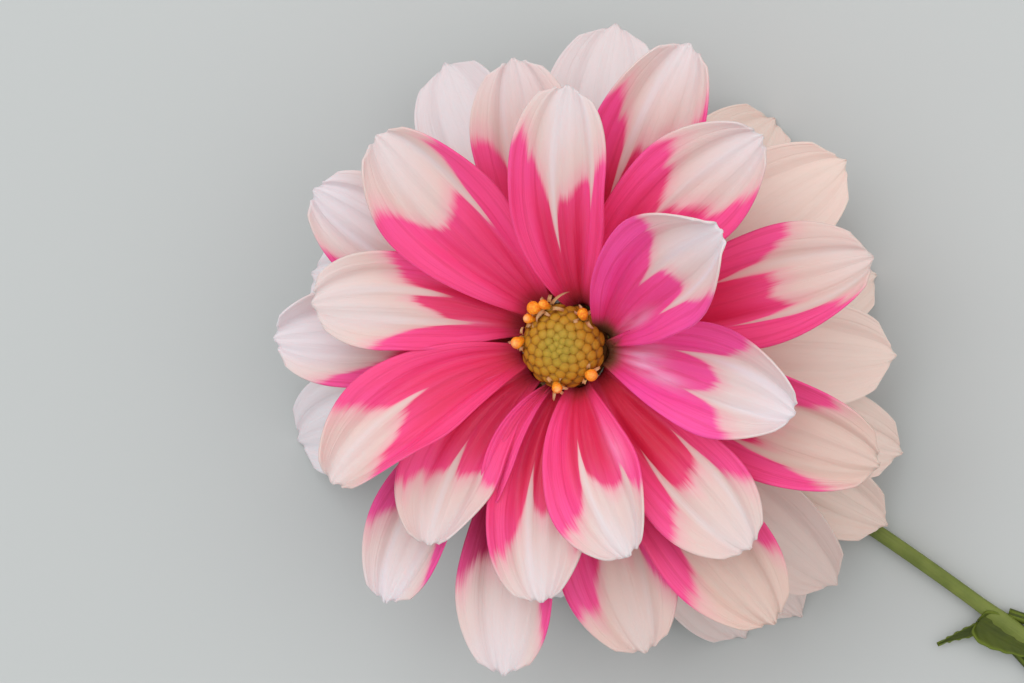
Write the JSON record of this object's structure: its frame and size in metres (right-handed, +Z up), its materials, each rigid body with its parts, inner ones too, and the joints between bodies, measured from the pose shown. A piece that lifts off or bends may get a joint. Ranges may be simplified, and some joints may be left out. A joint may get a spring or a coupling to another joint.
{
  "type": "cut dahlia",
  "caption": "Cut semi-double dahlia lying on its drooping outer petals, with cupped bicolour ray petals round a domed disc, a bent neck and a slim leafy stem along the surface.",
  "frame": {"origin": "middle of the footprint, on the surface that the flower lies on", "axes": "+Z up out of the bloom's face, +X from the stem's cut end towards the bloom"},
  "size_m": [0.185, 0.112, 0.0667],
  "materials": {
    "petal_inner": "satin",
    "petal_middle": "satin",
    "petal_outer": "satin",
    "disc_buds": "satin",
    "floret_orange": "matte",
    "receptacle_green": "satin",
    "bract_pale": "satin",
    "bract_green": "satin",
    "stem_green": "satin",
    "leaf_green": "satin"
  },
  "bodies": {
    "root": {"disc": "disc_buds", "disc_floret_1": "floret_orange", "disc_floret_2": "floret_orange", "disc_floret_3": "floret_orange", "disc_floret_4": "floret_orange", "disc_floret_5": "floret_orange", "disc_floret_6": "floret_orange", "inner_bract_1": "bract_pale", "inner_bract_2": "bract_pale", "inner_bract_3": "bract_pale", "inner_bract_4": "bract_pale", "inner_bract_5": "bract_pale", "inner_petal_01": "petal_inner", "inner_petal_02": "petal_inner", "inner_petal_03": "petal_inner", "inner_petal_04": "petal_inner", "inner_petal_05": "petal_inner", "inner_petal_06": "petal_inner", "inner_petal_07": "petal_inner", "inner_petal_08": "petal_inner", "inner_petal_09": "petal_inner", "inner_petal_10": "petal_inner", "inner_petal_11": "petal_inner", "inner_petal_12": "petal_inner", "leaf_left": "leaf_green", "leaf_right": "leaf_green", "middle_petal_01": "petal_middle", "middle_petal_02": "petal_middle", "middle_petal_03": "petal_middle", "middle_petal_04": "petal_middle", "middle_petal_05": "petal_middle", "middle_petal_06": "petal_middle", "middle_petal_07": "petal_middle", "middle_petal_08": "petal_middle", "middle_petal_09": "petal_middle", "middle_petal_10": "petal_middle", "outer_bract_1": "bract_green", "outer_bract_2": "bract_green", "outer_bract_3": "bract_green", "outer_bract_4": "bract_green", "outer_bract_5": "bract_green", "outer_petal_01": "petal_outer", "outer_petal_02": "petal_outer", "outer_petal_03": "petal_outer", "outer_petal_04": "petal_outer", "outer_petal_05": "petal_outer", "outer_petal_06": "petal_outer", "outer_petal_07": "petal_outer", "outer_petal_08": "petal_outer", "outer_petal_09": "petal_outer", "outer_petal_10": "petal_outer", "outer_petal_11": "petal_outer", "outer_petal_12": "petal_outer", "outer_petal_13": "petal_outer", "outer_petal_14": "petal_outer", "outer_petal_15": "petal_outer", "outer_petal_16": "petal_outer", "receptacle": "receptacle_green", "stem": "stem_green"}
  },
  "joints": []
}
